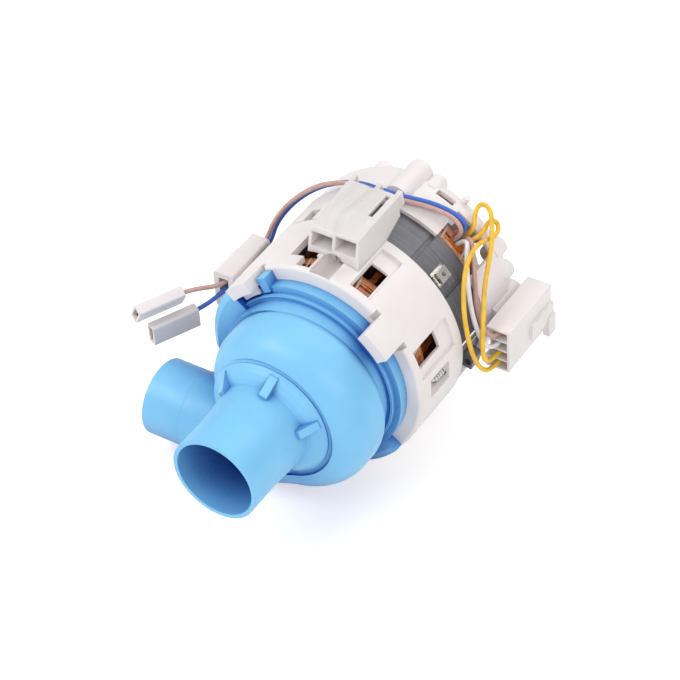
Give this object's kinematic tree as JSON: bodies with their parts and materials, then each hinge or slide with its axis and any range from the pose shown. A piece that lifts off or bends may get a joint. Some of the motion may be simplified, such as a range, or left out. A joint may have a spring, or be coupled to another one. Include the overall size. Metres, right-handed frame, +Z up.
{
  "type": "washing machine pump motor",
  "caption": "Pump motor: blue scroll housing with inlet and outlet spigots locked on an induction motor with white end brackets, wire tower, capacitor leads and supply connector.",
  "frame": {"origin": "centre of the inlet spigot's mouth", "axes": "+Y along the pump and motor axis from the inlet mouth to the motor's rear, +Z up away from the feet, the outlet spigot points to -X"},
  "size_m": [0.1489, 0.156, 0.1107],
  "materials": {
    "volute_housing": "satin sky blue plastic",
    "volute_o_ring": "black rubber",
    "seal_back_plate": "satin light grey plastic",
    "impeller": "satin natural plastic",
    "seal_ceramic_seat": "ground white ceramic",
    "seal_seat_cup": "black rubber",
    "seal_carbon_ring": "lapped carbon graphite",
    "seal_bellows": "black rubber",
    "seal_spring": "stainless steel",
    "shaft": "ground stainless steel",
    "rotor_core": "turned laminations",
    "rotor_cage": "die cast aluminium",
    "thrust_washers": "dark plastic",
    "front_bush": "sintered bronze",
    "rear_bush": "sintered bronze",
    "front_oil_felt": "oiled wool felt",
    "rear_oil_felt": "oiled wool felt",
    "front_bush_retainer": "spring steel",
    "rear_bush_retainer": "spring steel",
    "front_bracket": "satin off-white plastic",
    "rear_bracket": "satin off-white plastic",
    "stator_core": "dark stacked laminations",
    "stator_winding": "varnished copper winding",
    "front_winding_loops": "enamelled copper wire",
    "rear_winding_loops": "enamelled copper wire",
    "bracket_screws": "zinc plated steel",
    "earth_terminal": "tinned steel",
    "wire_tower": "natural nylon",
    "connector_housing": "off-white nylon",
    "connector_terminals": "tinned brass",
    "lead_box": "off-white plastic",
    "receptacle_cover_brown": "natural nylon",
    "receptacle_cover_blue": "natural nylon",
    "receptacle_terminal_brown": "tinned brass",
    "receptacle_terminal_blue": "tinned brass",
    "lead_blue": "PVC insulation",
    "lead_brown": "PVC insulation",
    "supply_lead_brown": "PVC insulation",
    "supply_lead_white": "PVC insulation",
    "supply_lead_yellow_low": "PVC insulation",
    "supply_lead_yellow_high": "PVC insulation"
  },
  "bodies": {
    "housing": {"volute_housing": "volute_housing", "volute_o_ring": "volute_o_ring", "seal_back_plate": "seal_back_plate", "seal_ceramic_seat": "seal_ceramic_seat", "seal_seat_cup": "seal_seat_cup", "front_bush": "front_bush", "rear_bush": "rear_bush", "front_oil_felt": "front_oil_felt", "rear_oil_felt": "rear_oil_felt", "front_bush_retainer": "front_bush_retainer", "rear_bush_retainer": "rear_bush_retainer", "front_bracket": "front_bracket", "rear_bracket": "rear_bracket", "stator_core": "stator_core", "stator_winding": "stator_winding", "front_winding_loops": "front_winding_loops", "rear_winding_loops": "rear_winding_loops", "bracket_screws": "bracket_screws", "earth_terminal": "earth_terminal", "wire_tower": "wire_tower", "connector_housing": "connector_housing", "connector_terminals": "connector_terminals", "lead_box": "lead_box", "receptacle_cover_brown": "receptacle_cover_brown", "receptacle_cover_blue": "receptacle_cover_blue", "receptacle_terminal_brown": "receptacle_terminal_brown", "receptacle_terminal_blue": "receptacle_terminal_blue", "lead_blue": "lead_blue", "lead_brown": "lead_brown", "supply_lead_brown": "supply_lead_brown", "supply_lead_white": "supply_lead_white", "supply_lead_yellow_low": "supply_lead_yellow_low", "supply_lead_yellow_high": "supply_lead_yellow_high"},
    "rotor": {"shaft": "shaft", "rotor_core": "rotor_core", "rotor_cage": "rotor_cage", "thrust_washers": "thrust_washers", "impeller": "impeller", "seal_carbon_ring": "seal_carbon_ring", "seal_bellows": "seal_bellows", "seal_spring": "seal_spring"}
  },
  "joints": [
    {"name": "rotor_spin", "type": "hinge", "parent": "housing", "child": "rotor", "pos_m": [0, 0.115, 0], "axis": [0, 1, 0], "continuous": true}
  ]
}
